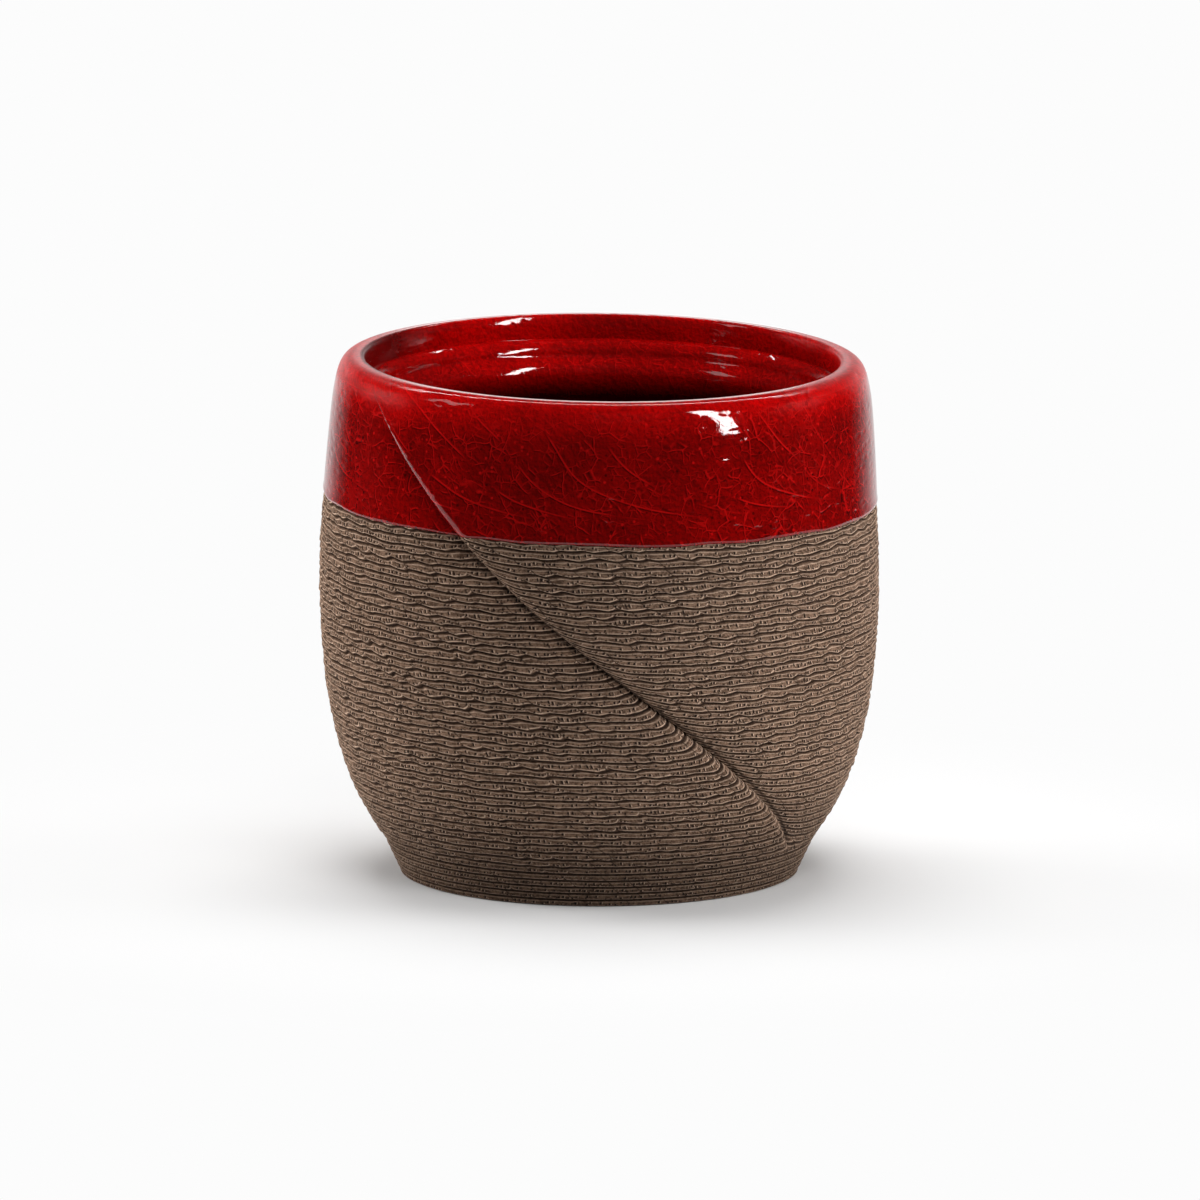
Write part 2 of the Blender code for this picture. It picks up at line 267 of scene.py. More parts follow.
# Long cracks, with a painted shade beside them
CRACKS_PER_MM = 0.14
CRACK_PHASE = 0.08
CRACK_SWAY = 1.2
CRACK_SWAY_NOISE = (60.0, 1.0)
CRACK_RUN = 1.0  # sideways run of the long cracks for each unit of fall near the rim
CRACK_SWEEP = 86.0  # how far they run out sideways towards the glaze line
CRACK_TURN = 1.5  # height in which that run grows almost threefold
CRACK_FADE = (3.0, 4.4)  # they end at this height above the glaze line
CRACK_NOISE = (85.0, 1.0)
CRACK_CHANCE = (0.44, 0.52)
CRACK_WIDTH = (0.05, 0.14)
CRACK_SHADE = 0.17

# Dimples over the beads, the rim and the inside
DIMPLES_PER_MM = 0.36
DIMPLE_SCATTER = 0.7
DIMPLE_SIZE = (0.05, 0.50)
DIMPLE_DEPTH = 0.030
WAVINESS = 0.018
WAVINESS_NOISE = (250.0, 2.0)
# Painted light and shade in the red glaze
GLOW_REACH = (28.75, 29.15)  # radius where the inside ends
INSIDE_GAIN = 2.6  # painted light: how much brighter the red is inside at the back
LIP_SIDE_GAIN = 0.5  # painted shade: the same inside at the sides, on the lip
SHELF_SIDE_GAIN = 1.3  # the same below the lip
INSIDE_BACK = (12.0, 27.0)  # distances behind the axis
# painted light on the rim
RIM_GAIN = 2.3
RIM_REACH = (57.5, 62.8)  # heights
BOWL_SHADE_DEPTH = (53.2, 57.2)  # heights where the painted shade down in the bowl ends
BOWL_SHADE_GAIN = 0.06

# Camera
VIEW_HEIGHT = 33.20  # the point of the axis that the camera looks at
VIEW_SIDE = 0.10
VIEW_WIDTH = 145.5
VIEW_DISTANCE = 6000.0
VIEW_DEPTH = 3.0 * VIEW_DISTANCE  # how far the camera sees
VIEW_ELEVATION = math.radians(10.75)
SENSOR_WIDTH = 36.0

# Stage; directions are seen from the cup
FLOOR_RADIUS = 220.0
FLOOR_SIDES = 96
FLOOR_COLOUR = (0.80, 0.80, 0.80, 1.0)
FLOOR_FADE = (8.0, 104.0)  # distances from the axis where it turns white
PAPER_WHITE = (0.974, 0.974, 0.974, 1.0)
PAPER_LEVEL = 0.8  # how bright the paper behind the cup is mirrored in the glaze
PAPER_BACK = (0.0, 0.3)  # it starts at the sides, as sines of the angle
PAPER_SPREAD = (0.28, 0.76)  # it fades out to both sides between these
PAPER_TOP = (0.15, 0.34)  # and upwards between these
PAPER_GLEAM = 1.8  # extra light in its middle
GLEAM_SPREAD = (0.01, 0.05)
GLEAM_BOTTOM = (0.06, 0.18)  # sines of the elevation where it starts
ROOM_LIGHT = (1.0, 1.0, 1.0, 1.0)
ROOM_LEVEL = 0.02

# Lamps: name, azimuth and elevation in degrees, distance, width and height, power, roll in degrees
FILLS = (
    ("fill_front", 15.0, 40.0, 900.0, (500.0, 400.0), 3.0),
    ("fill_top", 180.0, 75.0, 1000.0, (700.0, 700.0), 8.0),
    ("fill_right", 92.0, 8.0, 900.0, (500.0, 500.0), 9.3),
    ("fill_left", -112.0, 7.0, 900.0, (500.0, 500.0), 12.8),
)
CARDS = (
    ("card_right", 50.0, 29.0, 220.0, (28.0, 134.0), 0.30, 10.0),
    ("card_left", -76.0, 40.0, 260.0, (60.0, 60.0), 0.026),
)
BACK_CARDS = (-141.0, -160.5, 180.0, 160.5, 141.0)  # azimuths of a row of equal cards
BACK_CARD = (46.0, 800.0, (196.0, 22.0), 0.24)


def smooth_rise(value, start, end):
    """Runs from 0 at start to 1 at end with level ends."""
    share = np.clip((value - start) / (end - start), 0.0, 1.0)
    return share * share * (3.0 - 2.0 * share)


def bezier(handles, share):
    """Points on a cubic curve with four (radius, height) handles."""
    rest = 1.0 - share
    weights = (rest**3, 3.0 * rest * rest * share, 3.0 * rest * share * share, share**3)
    return sum(np.outer(weight, handle) for weight, handle in zip(weights, handles))


def wall_profile():
    """Heights and radii of the plain outer wall from the base to the shoulder."""
    share = np.linspace(0.0, 1.0, PROFILE_SAMPLES)
    shoulder = CUP_HEIGHT - SHOULDER_DROP
    low_rise = BELLY_HEIGHT - WALL_BOTTOM
    spring = WALL_SPRING_REACH * low_rise
    lower = bezier(
        (
            (WALL_BOTTOM_RADIUS, WALL_BOTTOM),
            (WALL_BOTTOM_RADIUS + WALL_SPRING_SLOPE * spring, WALL_BOTTOM + spring),
            (BELLY_RADIUS, BELLY_HEIGHT - BELLY_REACH_DOWN * low_rise),
            (BELLY_RADIUS, BELLY_HEIGHT),
        ),
        share,
    )
    high_rise = shoulder - BELLY_HEIGHT
    reach = SHOULDER_REACH * high_rise
    upper = bezier(
        (
            (BELLY_RADIUS, BELLY_HEIGHT),
            (BELLY_RADIUS, BELLY_HEIGHT + BELLY_REACH_UP * high_rise),
            (SHOULDER_RADIUS + SHOULDER_SLOPE * reach, shoulder - reach),
            (SHOULDER_RADIUS, shoulder),
        ),
        share,
    )
    foot = np.array([[FOOT_RADIUS, 0.0]])
    curve = np.vstack([foot, lower, upper[1:]])
    return curve[:, 1], curve[:, 0]


PROFILE_HEIGHTS, PROFILE_RADII = wall_profile()


def outer_radius(height):
    """Radius of the plain outer wall at a height."""
    return np.interp(height, PROFILE_HEIGHTS, PROFILE_RADII)


def column_offsets():
    """Angles of the mesh columns from the crease; columns crowd together beside it."""
    share = 2.0 * np.arange(COLUMNS) / COLUMNS - 1.0
    return math.pi * (COLUMN_EVENNESS * share + (1.0 - COLUMN_EVENNESS) * share * abs(share))


OFFSETS = column_offsets()


def ring_noise(rng, rings, knots):
    """Smooth random values round the cup for a number of rings, mostly within -1 to 1."""
    values = rng.uniform(-1.0, 1.0, size=(rings, knots))
    place = (OFFSETS / (2.0 * math.pi) + 0.5) * knots
    cell = np.floor(place).astype(int)
    share = place - cell
    before, here, after, beyond = (values[:, (cell + step) % knots] for step in (-1, 0, 1, 2))
    bend = 2.0 * before - 5.0 * here + 4.0 * after - beyond
    twist = 3.0 * (here - after) + beyond - before
    return here + 0.5 * share * (after - before + share * (bend + share * twist))


def crease_angle(height):
    """Direction of the crease seen from above."""
    rise = height - CREASE_FRONT_HEIGHT
    return CREASE_TURN * rise + CREASE_BEND * rise * rise


def crease_fade(height):
    """Strength of the crease, which dies out at the foot and at the lip."""
    foot = smooth_rise(height, WALL_BOTTOM, WALL_BOTTOM + CREASE_FOOT_FADE)
    return foot * (1.0 - smooth_rise(height, CREASE_LIP_START, CREASE_LIP_END))


def crease_swap(height):
    """1 where the right side of the crease stands proud, 0 where the left side does."""
    return 0.5 + 0.5 * np.tanh((height - CREASE_SWAP_HEIGHT) / CREASE_SWAP_LENGTH)


def crease_lobe(arc):
    """Section of the crease with its proud side at positive arc distances."""
    turn = np.clip(arc / CREASE_EDGE_ROUND, 0.0, 1.0)
    beyond = np.maximum(arc - CREASE_EDGE_ROUND, 0.0)
    edge = np.sqrt(1.0 - (1.0 - turn) ** 2)
    proud = (CREASE_NOTCH + CREASE_PROUD) * edge - CREASE_NOTCH
    proud = proud * np.exp(-beyond / CREASE_PROUD_REACH)
    sunk = -CREASE_NOTCH * np.exp(np.minimum(arc, 0.0) / CREASE_SUNK_REACH)
    return np.where(arc > 0.0, proud, sunk)


def crease_offset(arc, height):
    """How far the wall stands out or in at an arc distance from the crease."""
    right = crease_swap(height)
    return crease_fade(height) * (right * crease_lobe(arc) + (1.0 - right) * crease_lobe(-arc))


def crease_lift(arc, height):
    """How far the course lines climb beside the crease."""
    right = crease_swap(height)
    near = np.exp(-np.abs(arc) / CREASE_LIFT_REACH)
    free = np.where(arc > 0.0, 1.0, 1.0 - right)
    return crease_fade(height) * near * (CREASE_SUNK_LIFT + (CREASE_LIFT - CREASE_SUNK_LIFT) * free)


def crease_fingers(arc, height):
    """How far the courses part into fingers, at the left edge of the crease where that is proud."""
    near = np.where(arc > 0.0, 0.0, np.exp(-np.abs(arc) / CREASE_FINGER_REACH))
    return crease_fade(height) * near * (1.0 - crease_swap(height))


def crease_smear(arc, height):
    """How much of the bead pattern is left: wiped flat on the right, deeper in fingers on the left."""
    wiped = np.where(arc > 0.0, CREASE_SMEAR * np.exp(-np.abs(arc) / CREASE_SMEAR_REACH), 0.0)
    return 1.0 + CREASE_FINGERS * crease_fingers(arc, height) - crease_fade(height) * wiped


def to_space(radius, height, crease_share):
    """Points in millimetres from radii and heights, with the crease and the rim's tilt."""
    angle = crease_angle(height) + OFFSETS
    radius = radius + crease_share * crease_offset(radius * OFFSETS, height)
    x = radius * np.sin(angle)
    y = -radius * np.cos(angle)
    z = height - math.tan(RIM_TILT) * x * height / CUP_HEIGHT
    x = x + RIM_LEAN * smooth_rise(height, BELLY_HEIGHT, CUP_HEIGHT)
    return np.stack([x, y, z], axis=-1)


def skin(name, grid, radius, course, extra, poles):
    """Closed mesh over a grid of rows by columns.

    Its rows either close into a ring or, with poles, end in a point on the axis at both ends.
    Face corners keep the course number, the distance along it in millimetres and extra values.
    """
    rows, columns = grid.shape[:2]
    index = np.arange(rows * columns).reshape(rows, columns)
    beside = np.roll(index, -1, axis=1)
    corners = [index, beside, np.roll(beside, -1, axis=0), np.roll(index, -1, axis=0)]
    angle = crease_angle(course * COURSE_PITCH + WALL_BOTTOM) + OFFSETS
    along = (radius * angle).ravel()
    turn = np.zeros((rows, columns))
    turn[:, -1] = 2.0 * math.pi * radius[:, -1]
    shift = [np.zeros_like(turn), turn, np.roll(turn, -1, axis=0), np.zeros_like(turn)]
    used = slice(None, -1) if poles else slice(None)
    quads = np.stack([corner[used] for corner in corners], axis=-1).reshape(-1, 4)
    shifts = np.stack([corner[used] for corner in shift], axis=-1).reshape(-1, 4)
    points = grid.reshape(-1, 3)
    faces = quads.tolist()
    ends = 0
    if poles:
        tips = np.array([[0.0, 0.0, grid[0, :, 2].mean()], [0.0, 0.0, grid[-1, :, 2].mean()]])
        first, last = rows * columns, rows * columns + 1
        points = np.vstack([points, tips])
        faces += [(first, b, a) for a, b in zip(index[0].tolist(), beside[0].tolist())]
        faces += [(last, a, b) for a, b in zip(index[-1].tolist(), beside[-1].tolist())]
        ends = 6 * columns
    mesh = bpy.data.meshes.new(name)
    mesh.from_pydata((points * MM).tolist(), [], faces)
    pattern = {"course": course.ravel()[quads], "along": along[quads] + shifts}
    for key, values in extra.items():
        pattern[key] = values.ravel()[quads]
    for key, values in pattern.items():
        layer = mesh.attributes.new(key, "FLOAT", "CORNER")
        layer.data.foreach_set("value", np.append(values.ravel(), np.zeros(ends)))
    mesh.shade_smooth()
    piece = bpy.data.objects.new(name, mesh)
    bpy.context.scene.collection.objects.link(piece)
    return piece


def bead_ends(rng, rings):
    """Beads along each course: lens shape, up to 1 in the middle and -1 at the ends, and end distance.

    The distance to a bead's nearest end is negative before that end and positive after it.
    """
    around = 2.0 * math.pi * BELLY_RADIUS
    arc = (OFFSETS + math.pi) * BELLY_RADIUS
    swell = np.empty((rings, COLUMNS))
    nearest = np.empty((rings, COLUMNS))
    for ring in range(rings):
        ends = np.cumsum(rng.uniform(BEAD_SHORT, BEAD_LONG, size=int(around / BEAD_SHORT)))
        ends = np.append(ends[ends < around - BEAD_SHORT], around)
        starts = np.append(0.0, ends[:-1])
        size = rng.uniform(*BEAD_FULLNESS, size=len(ends))
        bead = np.minimum(np.searchsorted(ends, arc, side="right"), len(ends) - 1)
        behind = arc - starts[bead]
        ahead = ends[bead] - arc
        middle = np.sin(math.pi * np.clip(behind / (behind + ahead), 0.0, 1.0))
        swell[ring] = size[bead] * (2.0 * middle - 1.0) - (1.0 - size[bead])
        nearest[ring] = np.where(behind < ahead, behind, -ahead)
    return swell, np.clip(nearest, -1.0, 1.0)


def course_lines(rng, start, pitch, swell, share):
    """Heights of the joints between courses, with their waves and the climb at the crease."""
    count = len(swell)
    level = (start + pitch * np.arange(count + 1))[:, None]
    shared = ring_noise(rng, count + 1, COURSE_WAVE_KNOTS)
    shared = shared + np.roll(shared, 1, axis=0) + np.roll(shared, 2, axis=0)
    wave = COURSE_WAVE * shared
    wave[1:-1] += 0.5 * BEAD_SWELL * (swell[:-1] - swell[1:])
    wave[level[:, 0] == WALL_BOTTOM] = 0.0
    wave[level[:, 0] == 0.0] = 0.0
    arc = outer_radius(level) * OFFSETS
    calm = 1.0 - CREASE_CALM * crease_fade(level) * np.exp(-np.abs(arc) / CREASE_CALM_REACH)
    low = LOW_WAVE + (1.0 - LOW_WAVE) * smooth_rise(level, *LOW_WAVE_REACH)
    return level + share * low * calm * wave + crease_lift(arc, level)


def course_relief(share):
    """Section of one course: proud lower edge, face that falls back upwards, groove at the joint."""
    gap = np.minimum(share, 1.0 - share)
    groove = GROOVE_DEPTH * np.exp(-((gap / GROOVE_WIDTH) ** 2))
    return -groove - COURSE_FALL * np.maximum(share - COURSE_STEPS[1], 0.0)


def stack_courses(lines):
    """Heights, course numbers and shares of the mesh rows between joint lines."""
    steps = np.array(COURSE_STEPS)
    count = len(lines) - 1
    share = np.tile(steps, count)
    number = np.repeat(np.arange(count), len(steps))
    height = lines[number] * (1.0 - share[:, None]) + lines[number + 1] * share[:, None]
    return height, number, share


def glaze_edge(rng):
    """Height of the lower edge of the glaze round the cup."""
    wave = GLAZE_LINE_WAVE * ring_noise(rng, 1, COURSE_WAVE_KNOTS)
    angle = crease_angle(GLAZE_LINE) + OFFSETS
    return GLAZE_LINE - math.tan(GLAZE_LINE_TILT) * BELLY_RADIUS * np.sin(angle) + wave


def rows_of(path):
    """Radii and heights, one row each, from (radius, height) pairs of numbers or rows."""
    ones = np.ones(COLUMNS)
    radius = np.array([pair[0] * ones for pair in path])
    height = np.array([pair[1] * ones for pair in path])
    return radius, height


def build_base(rng):
    """Base disc with the lowest courses on its edge."""
    swell, ends = bead_ends(rng, BASE_COURSES)
    lines = course_lines(rng, 0.0, WALL_BOTTOM / BASE_COURSES, swell, BASE_WAVE)
    height, number, share = stack_courses(lines)
    wobble = ring_noise(rng, BASE_COURSES, COURSE_WOBBLE_KNOTS)[number]
    radius = outer_radius(height) + course_relief(share)[:, None]
    radius += 0.5 * BASE_WAVE * COURSE_WOBBLE * (wobble - 1.0)
    keep = share + number > 0.0
    foot_radius, foot_height = rows_of([(FOOT_RADIUS - FOOT_CHAMFER, 0.0)])
    insets = (GROOVE_DEPTH, BASE_TOP_INSET)
    top_radius, top_height = rows_of([(WALL_BOTTOM_RADIUS - inset, WALL_BOTTOM) for inset in insets])
    radius = np.vstack([foot_radius, radius[keep], top_radius])
    height = np.vstack([foot_height, height[keep], top_height])
    course = np.concatenate([[0.0], (number + share)[keep], [BASE_COURSES, BASE_COURSES]])
    course = np.broadcast_to(course[:, None] - BASE_COURSES, height.shape)
    end = np.vstack([ends[:1], ends[number[keep]], ends[-1:], ends[-1:]])
    marks = {"end": end, "fold": np.ones_like(end), "finger": np.zeros_like(end)}
    return skin("base_courses", to_space(radius, height, 0.0), radius, course, marks, True)


def build_wall(rng, edge):
    """Clay wall: courses outside, plain under the glaze and behind the lining."""
    swell, ends = bead_ends(rng, COURSE_COUNT)
    lines = course_lines(rng, WALL_BOTTOM, COURSE_PITCH, swell, 1.0)
    height, number, share = stack_courses(lines)
    plain = outer_radius(height)
    arc = plain * OFFSETS
    wobble = ring_noise(rng, COURSE_COUNT, COURSE_WOBBLE_KNOTS)[number]
    left = crease_smear(arc, height)
    bulge = 0.5 * COURSE_WOBBLE * (wobble - 1.0) + 0.5 * BEAD_BULGE * (swell[number] - 1.0)
    relief = left * (course_relief(share)[:, None] + bulge)
    tuck = smooth_rise(height - edge, *CLAY_TUCK)
    radius = plain + relief - GLAZE_THICKNESS * tuck
    up = np.linspace(lines[-1].max() + HIDDEN_START, LEDGE_HEIGHT, HIDDEN_ROWS)
    down = np.linspace(LEDGE_HEIGHT, WALL_BOTTOM, HIDDEN_ROWS)
    hidden = [(outer_radius(z) - 2.0 * GLAZE_THICKNESS, z) for z in up]
    hidden += [(outer_radius(z) - WALL_THICKNESS - collar_bulge(z), z) for z in down]
    hidden_radius, hidden_height = rows_of(hidden)
    radius = np.vstack([radius, hidden_radius])
    height = np.vstack([height, hidden_height])
    course = np.concatenate([number + share, np.full(len(hidden), COURSE_COUNT)])
    course = np.broadcast_to(course[:, None], height.shape)
    end = np.vstack([ends[number], np.ones_like(hidden_radius)])
    shadow = CREASE_SHADOW * (1.0 - crease_swap(height))
    # Distance to the painted shade line in the fold of the crease
    fold = np.abs(radius * OFFSETS - shadow) + 1.0 - crease_fade(height)
    finger = crease_fingers(radius * OFFSETS, height)
    marks = {"end": end, "fold": np.minimum(fold, 1.0), "finger": finger}
    return skin("clay_courses", to_space(radius, height, 1.0), radius, course, marks, False)


def lip_rows(depth):
    """Lip from the shoulder over the crest and down its flared inside, sunk by a depth."""
    shoulder = CUP_HEIGHT - SHOULDER_DROP
    start = SHOULDER_RADIUS - depth
    inner = SHOULDER_RADIUS - LIP_THICKNESS + depth
    crest = inner + LIP_FLARE
    top = CUP_HEIGHT - depth
    narrowing = (start - crest) / (LIP_THICKNESS - LIP_FLARE)
    rise = narrowing * LIP_OUTER_REACH
    outside = (
        (start, shoulder),
        (start - SHOULDER_SLOPE * rise, shoulder + rise),
        (crest + narrowing * LIP_CREST_REACH, top),
        (crest, top),
    )
    inside = (
        (crest, top),
        (inner + LIP_INNER_ROUND * LIP_FLARE, top),
        (inner, top - LIP_INNER_REACH),
        (inner, LEDGE_HEIGHT),
    )
    path = bezier(outside, np.linspace(0.0, 1.0, LIP_ROWS)).tolist()
    return path + bezier(inside, np.linspace(0.0, 1.0, INNER_LIP_ROWS))[1:].tolist()


def build_band(edge):
    """Red coat outside: rolled lower edge, band, lip and the turn down inside the rim."""
    shoulder = CUP_HEIGHT - SHOULDER_DROP
    inner = SHOULDER_RADIUS - LIP_THICKNESS
    share = np.linspace(0.0, 1.0, BAND_ROWS)[:, None] ** BAND_CROWDING
    height = edge + (shoulder - edge) * share
    above = height - edge
    roll = GLAZE_ROLL * np.exp(-(((above - GLAZE_ROLL_HEIGHT) / GLAZE_ROLL_WIDTH) ** 2))
    start = GLAZE_THICKNESS * np.exp(-above / GLAZE_THINNING)
    radius = outer_radius(height) - GLAZE_DEPTH * (1.0 - share) + roll - start
    lip_radius, lip_height = rows_of(lip_rows(0.0)[1:])
    tail = LEDGE_HEIGHT - GLAZE_TAIL
    tail_radius, tail_height = rows_of([(inner, tail), (inner + GLAZE_THICKNESS, tail)])
    back_radius, back_height = rows_of(lip_rows(GLAZE_THICKNESS)[::-1])
    back_share = np.linspace(1.0, 0.0, HIDDEN_ROWS)[1:, None]
    under_height = edge + GLAZE_BACK_RISE + (shoulder - edge) * back_share
    under_radius = outer_radius(under_height) - GLAZE_THICKNESS - GLAZE_DEPTH
    radius = np.vstack([radius, lip_radius, tail_radius, back_radius, under_radius])
    height = np.vstack([height, lip_height, tail_height, back_height, under_height])
    course = (height - WALL_BOTTOM) / COURSE_PITCH
    return skin("red_coat", to_space(radius, height, CREASE_GLAZE_SHARE), radius, course, {}, False)


def collar_bulge(height):
    """How far the inside bulges towards the axis below the rim."""
    rise = smooth_rise(height, COLLAR_END, COLLAR_HEIGHT)
    return COLLAR_BULGE * rise * (1.0 - smooth_rise(height, COLLAR_HEIGHT, LEDGE_HEIGHT))


def build_lining():
    """Red lining: ledge, rounded collar, wall, rounded corner and floor."""
    inner = SHOULDER_RADIUS - LIP_THICKNESS
    depth = WALL_THICKNESS + SEAM_GAP + LINING_THICKNESS
    collar_radius = outer_radius(COLLAR_HEIGHT) - depth - COLLAR_BULGE
    step_radius = inner - STEP_INSET
    ledge = (
        (inner, LEDGE_HEIGHT),
        (inner - STEP_TURN, LEDGE_HEIGHT),
        (step_radius, STEP_HEIGHT + STEP_REACH),
        (step_radius, STEP_HEIGHT),
    )
    collar = (
        (step_radius, STEP_HEIGHT),
        (step_radius, STEP_HEIGHT - COLLAR_START),
        (collar_radius, COLLAR_HEIGHT + COLLAR_REACH),
        (collar_radius, COLLAR_HEIGHT),
    )
    path = [(inner + out, LEDGE_HEIGHT + up) for out, up in LINING_EDGE]
    path += bezier(ledge, np.linspace(0.0, 1.0, LEDGE_ROWS)).tolist()
    path += bezier(collar, np.linspace(0.0, 1.0, LEDGE_ROWS))[1:].tolist()
    corner = LINING_FLOOR + LINING_CORNER
    for z in np.linspace(COLLAR_HEIGHT, corner, INSIDE_ROWS)[1:]:
        path.append((outer_radius(z) - depth - collar_bulge(z), z))
    start = path[-1][0]
    for turn in np.linspace(0.0, 0.5 * math.pi, CORNER_ROWS)[1:]:
        radius = start - LINING_CORNER * (1.0 - math.cos(turn))
        path.append((radius, corner - LINING_CORNER * math.sin(turn)))
    path += [(start * share, LINING_FLOOR) for share in LINING_RINGS]
    under = [(start * share, WALL_BOTTOM) for share in LINING_RINGS[::-1]]
    for z in np.linspace(WALL_BOTTOM + LINING_BACK[0], LEDGE_HEIGHT + LINING_BACK[1], HIDDEN_ROWS):
        under.append((outer_radius(z) - WALL_THICKNESS - SEAM_GAP - collar_bulge(z), z))
    radius, height = rows_of(under + path)
    course = (height - WALL_BOTTOM) / COURSE_PITCH
    return skin("red_lining", to_space(radius, height, CREASE_LINING_SHARE), radius, course, {}, True)


class Graph:
    """Short way to add and join the nodes of one material or world."""

    def __init__(self, owner):
        owner.use_nodes = True
        self.tree = owner.node_tree
        self.tree.nodes.clear()

    def add(self, kind, inputs, **settings):
        node = self.tree.nodes.new(kind)
        for key, value in settings.items():
            setattr(node, key, value)
        for key, value in inputs.items():
            self.feed(node.inputs[key], value)
        return node

    def feed(self, socket, value):
        if isinstance(value, bpy.types.NodeSocket):
            self.tree.links.new(value, socket)
        else:
            socket.default_value = value

    def math(self, operation, *values):
        inputs = dict(enumerate(values))
        return self.add("ShaderNodeMath", inputs, operation=operation).outputs[0]

    def chain(self, operation, values):
        """One value from several, joined two by two."""
        joined = values[0]
        for value in values[1:]:
            joined = self.math(operation, joined, value)
        return joined

    def times(self, *values):
        return self.chain("MULTIPLY", values)

    def total(self, *values):
        return self.chain("ADD", values)

    def most(self, *values):
        return self.chain("MAXIMUM", values)

    def less(self, value, part):
        return self.math("SUBTRACT", value, part)

    def size(self, value):
        return self.math("ABSOLUTE", value)

    def ramp(self, value, start, end, low=0.0, high=1.0):
        """Runs smoothly from low at start to high at end."""
        inputs = {"Value": value, "From Min": start, "From Max": end, "To Min": low, "To Max": high}
        return self.add("ShaderNodeMapRange", inputs, interpolation_type="SMOOTHSTEP").outputs[0]

    def past(self, value, reach, strength=1.0):
        """Nothing below a reach and full strength above it."""
        return self.ramp(value, reach[0], reach[1], 0.0, strength)

    def near(self, value, reach, strength=1.0):
        """Full strength below a reach and nothing above it."""
        return self.ramp(value, reach[0], reach[1], strength, 0.0)

    def mix(self, share, first, second):
        inputs = {0: share, 6: first, 7: second}
        return self.add("ShaderNodeMix", inputs, data_type="RGBA").outputs[2]

    def attribute(self, name):
        return self.add("ShaderNodeAttribute", {}, attribute_name=name).outputs["Fac"]

    def place(self):
        return self.add("ShaderNodeTexCoord", {}).outputs["Object"]

    def vector(self, x, y, z):
        return self.add("ShaderNodeCombineXYZ", {0: x, 1: y, 2: z}).outputs[0]

    def split(self, vector):
        return self.add("ShaderNodeSeparateXYZ", {0: vector}).outputs

    def picks(self, colour):
        """Three random numbers of a cell from its colour."""
        return self.add("ShaderNodeSeparateColor", {0: colour}).outputs

    def shift(self, vector, move):
        return self.add("ShaderNodeVectorMath", {0: vector, 1: move}).outputs[0]

    def apart(self, vector, other):
        inputs = {0: vector, 1: other}
        return self.add("ShaderNodeVectorMath", inputs, operation="SUBTRACT").outputs[0]

    def scale(self, vector, factor):
        inputs = {0: vector, "Scale": factor}
        return self.add("ShaderNodeVectorMath", inputs, operation="SCALE").outputs[0]

    def length(self, vector):
        return self.add("ShaderNodeVectorMath", {0: vector}, operation="LENGTH").outputs["Value"]

    def noises(self, vector, scale, detail, roughness=0.5):
        inputs = {"Vector": vector, "Scale": scale, "Detail": detail, "Roughness": roughness}
        return self.add("ShaderNodeTexNoise", inputs).outputs

    def noise(self, vector, settings):
        return self.noises(vector, *settings)["Fac"]

    def cells(self, vector, scale, feature, randomness=1.0):
        inputs = {"Vector": vector, "Scale": scale, "Randomness": randomness}
        return self.add("ShaderNodeTexVoronoi", inputs, feature=feature).outputs

    def bump(self, height):
        """Surface direction for a relief in millimetres."""
        inputs = {"Height": height, "Strength": 1.0, "Distance": MM}
        return self.add("ShaderNodeBump", inputs).outputs[0]

    def surface(self, inputs):
        shader = self.add("ShaderNodeBsdfPrincipled", inputs)
        self.add("ShaderNodeOutputMaterial", {"Surface": shader.outputs[0]})


def bead_pits(graph, along, course, face):
    """Pits on the faces of the beads, painted dark as shade, and the burr beside each pit, painted pale as a
    highlight.
    """
    spot = graph.vector(graph.times(along, PITS_PER_MM), course, 0.0)
    cell = graph.cells(spot, 1.0, "F1", PIT_SCATTER)
    aside, up = graph.split(graph.apart(spot, cell["Position"]))[:2]
    chance, size = graph.picks(cell["Color"])[:2]
    half = graph.ramp(size, *PIT_SIZES, *PIT_HEIGHT)
    tall = graph.ramp(graph.size(up), graph.times(half, PIT_CORE), half, 1.0, 0.0)
    tall = graph.times(tall, graph.past(chance, PIT_CHANCE), face)
    pit = graph.times(tall, graph.near(graph.size(aside), PIT_WIDTH))
    burr = graph.times(tall, graph.near(graph.size(graph.less(aside, BURR_ASIDE)), BURR_WIDTH))
    return pit, burr


def clay_pores(graph, along, course, face):
    """Small holes scattered over the faces of the beads, painted dark as shade."""
    spot = graph.vector(graph.times(along, PORES_PER_MM), graph.times(course, PORES_PER_COURSE), 0.0)
    cell = graph.cells(spot, 1.0, "F1")
    hole = graph.near(cell["Distance"], PORE_SIZE)
    return graph.times(hole, graph.past(graph.picks(cell["Color"])[0], PORE_CHANCE), face)


def bead_edges(graph, place, share, end):
    """Painted highlight on the lower edge of a bead, which curls up at both ends, and a fainter one on its
    upper edge.
    """
    curl = graph.times(graph.math("EXPONENT", graph.times(end, -1.0 / CURL_REACH)), CURL_RISE)
    curl = graph.times(curl, graph.past(graph.noise(place, CURL_NOISE), CURL_CHANCE))
    above = graph.less(share, graph.total(curl, BEAD_EDGE))
    edge = graph.near(graph.size(above), EDGE_WIDTH)
    crown = graph.near(graph.size(graph.less(share, BEAD_CROWN)), EDGE_WIDTH, CROWN_SHARE)
    broken = graph.ramp(graph.noise(place, EDGE_NOISE), *EDGE_CHANCE, EDGE_FAINT, 1.0)
    return graph.times(graph.most(edge, crown), broken)


